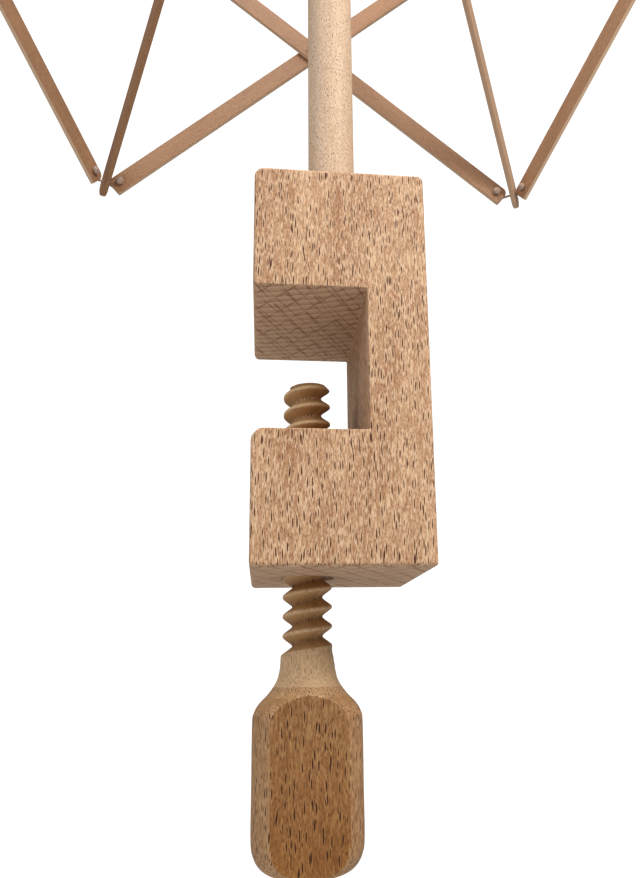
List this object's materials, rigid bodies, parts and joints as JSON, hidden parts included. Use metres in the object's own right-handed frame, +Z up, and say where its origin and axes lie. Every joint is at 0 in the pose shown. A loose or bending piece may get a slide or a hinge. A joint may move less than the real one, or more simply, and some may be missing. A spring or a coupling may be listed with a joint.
{
  "type": "yarn swift",
  "caption": "Umbrella yarn swift of beech slats that fold on a turned shaft, with a wooden screw clamp for a table edge.",
  "frame": {"origin": "on the main shaft's axis, in the plane of the upper jaw's underside, which rests on the table top", "axes": "+Z up along the main shaft; the clamp's mouth opens towards -X; +Y completes the frame"},
  "size_m": [0.606, 0.5388, 0.6781],
  "materials": {
    "planed_beech_block": "planed, unvarnished",
    "turned_pale_beech": "turned, unvarnished",
    "threaded_beech": "turned and threaded, unvarnished",
    "sliced_beech_slat": "sawn and sanded",
    "turned_beech_hub": "turned, unvarnished",
    "drawn_steel_wire": "bright drawn",
    "waxed_cord": "twisted and waxed"
  },
  "bodies": {
    "clamp": {"clamp_block": "planed_beech_block", "main_shaft": "turned_pale_beech", "yarn_cup": "turned_beech_hub"},
    "screw_tip": {"screw_tip": "threaded_beech"},
    "clamp_screw": {"clamp_screw": "threaded_beech"},
    "upper_hub": {"upper_hub": "turned_beech_hub", "upper_ring": "drawn_steel_wire"},
    "spoke_low_1": {"spoke_low_1": "sliced_beech_slat", "tie_cross_1": "waxed_cord"},
    "spoke_low_2": {"spoke_low_2": "sliced_beech_slat", "tie_cross_2": "waxed_cord"},
    "spoke_low_3": {"spoke_low_3": "sliced_beech_slat", "tie_cross_3": "waxed_cord"},
    "spoke_low_4": {"spoke_low_4": "sliced_beech_slat", "tie_cross_4": "waxed_cord"},
    "spoke_low_5": {"spoke_low_5": "sliced_beech_slat", "tie_cross_5": "waxed_cord"},
    "spoke_low_6": {"spoke_low_6": "sliced_beech_slat", "tie_cross_6": "waxed_cord"},
    "tie_low_1": {"tie_low_1": "waxed_cord"},
    "tie_low_2": {"tie_low_2": "waxed_cord"},
    "tie_low_3": {"tie_low_3": "waxed_cord"},
    "tie_low_4": {"tie_low_4": "waxed_cord"},
    "tie_low_5": {"tie_low_5": "waxed_cord"},
    "tie_low_6": {"tie_low_6": "waxed_cord"},
    "spoke_high_1": {"spoke_high_1": "sliced_beech_slat"},
    "tie_high_1": {"tie_high_1": "waxed_cord"},
    "spoke_high_2": {"spoke_high_2": "sliced_beech_slat"},
    "tie_high_2": {"tie_high_2": "waxed_cord"},
    "spoke_high_3": {"spoke_high_3": "sliced_beech_slat"},
    "tie_high_3": {"tie_high_3": "waxed_cord"},
    "spoke_high_4": {"spoke_high_4": "sliced_beech_slat"},
    "tie_high_4": {"tie_high_4": "waxed_cord"},
    "spoke_high_5": {"spoke_high_5": "sliced_beech_slat"},
    "tie_high_5": {"tie_high_5": "waxed_cord"},
    "spoke_high_6": {"spoke_high_6": "sliced_beech_slat"},
    "tie_high_6": {"tie_high_6": "waxed_cord"},
    "slat_inner_1": {"slat_inner_1": "sliced_beech_slat", "tie_waist_1": "waxed_cord"},
    "slat_outer_1": {"slat_outer_1": "sliced_beech_slat"},
    "slat_inner_2": {"slat_inner_2": "sliced_beech_slat", "tie_waist_2": "waxed_cord"},
    "slat_outer_2": {"slat_outer_2": "sliced_beech_slat"},
    "slat_inner_3": {"slat_inner_3": "sliced_beech_slat", "tie_waist_3": "waxed_cord"},
    "slat_outer_3": {"slat_outer_3": "sliced_beech_slat"},
    "slat_inner_4": {"slat_inner_4": "sliced_beech_slat", "tie_waist_4": "waxed_cord"},
    "slat_outer_4": {"slat_outer_4": "sliced_beech_slat"},
    "slat_inner_5": {"slat_inner_5": "sliced_beech_slat", "tie_waist_5": "waxed_cord"},
    "slat_outer_5": {"slat_outer_5": "sliced_beech_slat"},
    "slat_inner_6": {"slat_inner_6": "sliced_beech_slat", "tie_waist_6": "waxed_cord"},
    "slat_outer_6": {"slat_outer_6": "sliced_beech_slat"},
    "lower_hub": {"lower_hub": "turned_beech_hub", "lower_ring": "drawn_steel_wire"},
    "lock_collar": {"lock_collar": "turned_beech_hub"},
    "thumbscrew": {"thumbscrew": "turned_beech_hub"}
  },
  "joints": [
    {"name": "screw_travel", "type": "slide", "parent": "clamp", "child": "screw_tip", "axis": [0, 0, 1], "range_m": [-0.0213, 0.019]},
    {"name": "screw_turn", "type": "hinge", "parent": "screw_tip", "child": "clamp_screw", "pos_m": [-0.009, 0, -0.09], "axis": [0, 0, 1], "range_deg": [-1280, 1142]},
    {"name": "umbrella_spin", "type": "hinge", "parent": "clamp", "child": "upper_hub", "pos_m": [0, 0, 0.45255], "axis": [0, 0, 1], "continuous": true},
    {"name": "fold_1", "type": "hinge", "parent": "upper_hub", "child": "spoke_low_1", "pos_m": [0.01274, 0.02034, 0.45255], "axis": [0.8476, -0.5307, 0], "range_deg": [-45.5, 8]},
    {"name": "fold_2", "type": "hinge", "parent": "upper_hub", "child": "spoke_low_2", "pos_m": [-0.01125, 0.0212, 0.45255], "axis": [0.8834, 0.4687, 0], "range_deg": [-46, 8.5]},
    {"name": "fold_3", "type": "hinge", "parent": "upper_hub", "child": "spoke_low_3", "pos_m": [-0.02398, 0.00086, 0.45255], "axis": [0.0358, 0.9994, 0], "range_deg": [-46, 8.5]},
    {"name": "fold_4", "type": "hinge", "parent": "upper_hub", "child": "spoke_low_4", "pos_m": [-0.01274, -0.02034, 0.45255], "axis": [-0.8476, 0.5307, 0], "range_deg": [-46, 8.5]},
    {"name": "fold_5", "type": "hinge", "parent": "upper_hub", "child": "spoke_low_5", "pos_m": [0.01125, -0.0212, 0.45255], "axis": [-0.8834, -0.4687, 0], "range_deg": [-46, 8.5]},
    {"name": "fold_6", "type": "hinge", "parent": "upper_hub", "child": "spoke_low_6", "pos_m": [0.02398, -0.00086, 0.45255], "axis": [-0.0358, -0.9994, 0], "range_deg": [-46, 8.5]},
    {"name": "tie_low_1_turn", "type": "hinge", "parent": "spoke_low_1", "child": "tie_low_1", "pos_m": [0.15598, 0.24914, 0.222], "axis": [-0.8476, 0.5307, 0], "range_deg": [-46, 8.5]},
    {"name": "tie_low_2_turn", "type": "hinge", "parent": "spoke_low_2", "child": "tie_low_2", "pos_m": [-0.13777, 0.25966, 0.222], "axis": [-0.8834, -0.4687, 0], "range_deg": [-46, 8.5]},
    {"name": "tie_low_3_turn", "type": "hinge", "parent": "spoke_low_3", "child": "tie_low_3", "pos_m": [-0.29376, 0.01052, 0.222], "axis": [-0.0358, -0.9994, 0], "range_deg": [-46, 8.5]},
    {"name": "tie_low_4_turn", "type": "hinge", "parent": "spoke_low_4", "child": "tie_low_4", "pos_m": [-0.15598, -0.24914, 0.222], "axis": [0.8476, -0.5307, 0], "range_deg": [-46, 8.5]},
    {"name": "tie_low_5_turn", "type": "hinge", "parent": "spoke_low_5", "child": "tie_low_5", "pos_m": [0.13777, -0.25966, 0.222], "axis": [0.8834, 0.4687, 0], "range_deg": [-46, 8.5]},
    {"name": "tie_low_6_turn", "type": "hinge", "parent": "spoke_low_6", "child": "tie_low_6", "pos_m": [0.29376, -0.01052, 0.222], "axis": [0.0358, 0.9994, 0], "range_deg": [-46, 8.5]},
    {"name": "spoke_cross_1", "type": "hinge", "parent": "spoke_low_1", "child": "spoke_high_1", "pos_m": [0.08436, 0.13474, 0.33728], "axis": [-0.8476, 0.5307, 0], "range_deg": [-92, 17]},
    {"name": "tie_high_1_turn", "type": "hinge", "parent": "spoke_high_1", "child": "tie_high_1", "pos_m": [0.15598, 0.24914, 0.45255], "axis": [0.8476, -0.5307, 0], "range_deg": [-46, 8.5]},
    {"name": "spoke_cross_2", "type": "hinge", "parent": "spoke_low_2", "child": "spoke_high_2", "pos_m": [-0.07451, 0.14043, 0.33728], "axis": [-0.8834, -0.4687, 0], "range_deg": [-92, 17]},
    {"name": "tie_high_2_turn", "type": "hinge", "parent": "spoke_high_2", "child": "tie_high_2", "pos_m": [-0.13777, 0.25966, 0.45255], "axis": [0.8834, 0.4687, 0], "range_deg": [-46, 8.5]},
    {"name": "spoke_cross_3", "type": "hinge", "parent": "spoke_low_3", "child": "spoke_high_3", "pos_m": [-0.15887, 0.00569, 0.33728], "axis": [-0.0358, -0.9994, 0], "range_deg": [-92, 17]},
    {"name": "tie_high_3_turn", "type": "hinge", "parent": "spoke_high_3", "child": "tie_high_3", "pos_m": [-0.29376, 0.01052, 0.45255], "axis": [0.0358, 0.9994, 0], "range_deg": [-46, 8.5]},
    {"name": "spoke_cross_4", "type": "hinge", "parent": "spoke_low_4", "child": "spoke_high_4", "pos_m": [-0.08436, -0.13474, 0.33728], "axis": [0.8476, -0.5307, 0], "range_deg": [-92, 17]},
    {"name": "tie_high_4_turn", "type": "hinge", "parent": "spoke_high_4", "child": "tie_high_4", "pos_m": [-0.15598, -0.24914, 0.45255], "axis": [-0.8476, 0.5307, 0], "range_deg": [-46, 8.5]},
    {"name": "spoke_cross_5", "type": "hinge", "parent": "spoke_low_5", "child": "spoke_high_5", "pos_m": [0.07451, -0.14043, 0.33728], "axis": [0.8834, 0.4687, 0], "range_deg": [-92, 17]},
    {"name": "tie_high_5_turn", "type": "hinge", "parent": "spoke_high_5", "child": "tie_high_5", "pos_m": [0.13777, -0.25966, 0.45255], "axis": [-0.8834, -0.4687, 0], "range_deg": [-46, 8.5]},
    {"name": "spoke_cross_6", "type": "hinge", "parent": "spoke_low_6", "child": "spoke_high_6", "pos_m": [0.15887, -0.00569, 0.33728], "axis": [0.0358, 0.9994, 0], "range_deg": [-92, 17]},
    {"name": "tie_high_6_turn", "type": "hinge", "parent": "spoke_high_6", "child": "tie_high_6", "pos_m": [0.29376, -0.01052, 0.45255], "axis": [-0.0358, -0.9994, 0], "range_deg": [-46, 8.5]},
    {"name": "slat_inner_1_turn", "type": "hinge", "parent": "tie_low_1", "child": "slat_inner_1", "pos_m": [0.14393, 0.24787, 0.222], "axis": [-0.0358, -0.9994, 0], "range_deg": [-46, 8.5]},
    {"name": "slat_outer_1_turn", "type": "hinge", "parent": "tie_high_1", "child": "slat_outer_1", "pos_m": [0.14405, 0.25127, 0.45255], "axis": [0.0358, 0.9994, 0], "range_deg": [-46, 8.5]},
    {"name": "slat_inner_2_turn", "type": "hinge", "parent": "tie_low_2", "child": "slat_inner_2", "pos_m": [-0.1427, 0.24858, 0.222], "axis": [0.8476, -0.5307, 0], "range_deg": [-46, 8.5]},
    {"name": "slat_outer_2_turn", "type": "hinge", "parent": "tie_high_2", "child": "slat_outer_2", "pos_m": [-0.14558, 0.25039, 0.45255], "axis": [-0.8476, 0.5307, 0], "range_deg": [-46, 8.5]},
    {"name": "slat_inner_3_turn", "type": "hinge", "parent": "tie_low_3", "child": "slat_inner_3", "pos_m": [-0.28663, 0.00071, 0.222], "axis": [0.8834, 0.4687, 0], "range_deg": [-46, 8.5]},
    {"name": "slat_outer_3_turn", "type": "hinge", "parent": "tie_high_3", "child": "slat_outer_3", "pos_m": [-0.28963, -0.00088, 0.45255], "axis": [-0.8834, -0.4687, 0], "range_deg": [-46, 8.5]},
    {"name": "slat_inner_4_turn", "type": "hinge", "parent": "tie_low_4", "child": "slat_inner_4", "pos_m": [-0.14393, -0.24787, 0.222], "axis": [0.0358, 0.9994, 0], "range_deg": [-46, 8.5]},
    {"name": "slat_outer_4_turn", "type": "hinge", "parent": "tie_high_4", "child": "slat_outer_4", "pos_m": [-0.14405, -0.25127, 0.45255], "axis": [-0.0358, -0.9994, 0], "range_deg": [-46, 8.5]},
    {"name": "slat_inner_5_turn", "type": "hinge", "parent": "tie_low_5", "child": "slat_inner_5", "pos_m": [0.1427, -0.24858, 0.222], "axis": [-0.8476, 0.5307, 0], "range_deg": [-46, 8.5]},
    {"name": "slat_outer_5_turn", "type": "hinge", "parent": "tie_high_5", "child": "slat_outer_5", "pos_m": [0.14558, -0.25039, 0.45255], "axis": [0.8476, -0.5307, 0], "range_deg": [-46, 8.5]},
    {"name": "slat_inner_6_turn", "type": "hinge", "parent": "tie_low_6", "child": "slat_inner_6", "pos_m": [0.28663, -0.00071, 0.222], "axis": [-0.8834, -0.4687, 0], "range_deg": [-46, 8.5]},
    {"name": "slat_outer_6_turn", "type": "hinge", "parent": "tie_high_6", "child": "slat_outer_6", "pos_m": [0.28963, 0.00088, 0.45255], "axis": [0.8834, 0.4687, 0], "range_deg": [-46, 8.5]},
    {"name": "lower_hub_level", "type": "hinge", "parent": "spoke_high_1", "child": "lower_hub", "pos_m": [0.01274, 0.02034, 0.222], "axis": [0.8476, -0.5307, 0], "range_deg": [-46, 8.5]},
    {"name": "collar_still", "type": "hinge", "parent": "lower_hub", "child": "lock_collar", "pos_m": [0, 0, 0.2035], "axis": [0, 0, 1], "continuous": true},
    {"name": "thumbscrew_turn", "type": "hinge", "parent": "lock_collar", "child": "thumbscrew", "pos_m": [0.01, -0.01732, 0.2035], "axis": [0.5, -0.866, 0], "range_deg": [-90, 360]}
  ],
  "couplings": [
    {"joint": "screw_turn", "follows": "screw_travel", "rad_per_m": 1047.2},
    {"joint": "fold_2", "follows": "fold_1", "ratio": 1},
    {"joint": "fold_3", "follows": "fold_1", "ratio": 1},
    {"joint": "fold_4", "follows": "fold_1", "ratio": 1},
    {"joint": "fold_5", "follows": "fold_1", "ratio": 1},
    {"joint": "fold_6", "follows": "fold_1", "ratio": 1},
    {"joint": "tie_low_1_turn", "follows": "fold_1", "ratio": 1},
    {"joint": "tie_low_2_turn", "follows": "fold_1", "ratio": 1},
    {"joint": "tie_low_3_turn", "follows": "fold_1", "ratio": 1},
    {"joint": "tie_low_4_turn", "follows": "fold_1", "ratio": 1},
    {"joint": "tie_low_5_turn", "follows": "fold_1", "ratio": 1},
    {"joint": "tie_low_6_turn", "follows": "fold_1", "ratio": 1},
    {"joint": "spoke_cross_1", "follows": "fold_1", "ratio": 2},
    {"joint": "tie_high_1_turn", "follows": "fold_1", "ratio": 1},
    {"joint": "spoke_cross_2", "follows": "fold_1", "ratio": 2},
    {"joint": "tie_high_2_turn", "follows": "fold_1", "ratio": 1},
    {"joint": "spoke_cross_3", "follows": "fold_1", "ratio": 2},
    {"joint": "tie_high_3_turn", "follows": "fold_1", "ratio": 1},
    {"joint": "spoke_cross_4", "follows": "fold_1", "ratio": 2},
    {"joint": "tie_high_4_turn", "follows": "fold_1", "ratio": 1},
    {"joint": "spoke_cross_5", "follows": "fold_1", "ratio": 2},
    {"joint": "tie_high_5_turn", "follows": "fold_1", "ratio": 1},
    {"joint": "spoke_cross_6", "follows": "fold_1", "ratio": 2},
    {"joint": "tie_high_6_turn", "follows": "fold_1", "ratio": 1},
    {"joint": "slat_inner_1_turn", "follows": "fold_1", "ratio": 1},
    {"joint": "slat_outer_1_turn", "follows": "fold_1", "ratio": 1},
    {"joint": "slat_inner_2_turn", "follows": "fold_1", "ratio": 1},
    {"joint": "slat_outer_2_turn", "follows": "fold_1", "ratio": 1},
    {"joint": "slat_inner_3_turn", "follows": "fold_1", "ratio": 1},
    {"joint": "slat_outer_3_turn", "follows": "fold_1", "ratio": 1},
    {"joint": "slat_inner_4_turn", "follows": "fold_1", "ratio": 1},
    {"joint": "slat_outer_4_turn", "follows": "fold_1", "ratio": 1},
    {"joint": "slat_inner_5_turn", "follows": "fold_1", "ratio": 1},
    {"joint": "slat_outer_5_turn", "follows": "fold_1", "ratio": 1},
    {"joint": "slat_inner_6_turn", "follows": "fold_1", "ratio": 1},
    {"joint": "slat_outer_6_turn", "follows": "fold_1", "ratio": 1},
    {"joint": "lower_hub_level", "follows": "fold_1", "ratio": 1},
    {"joint": "collar_still", "follows": "umbrella_spin", "ratio": -1}
  ]
}
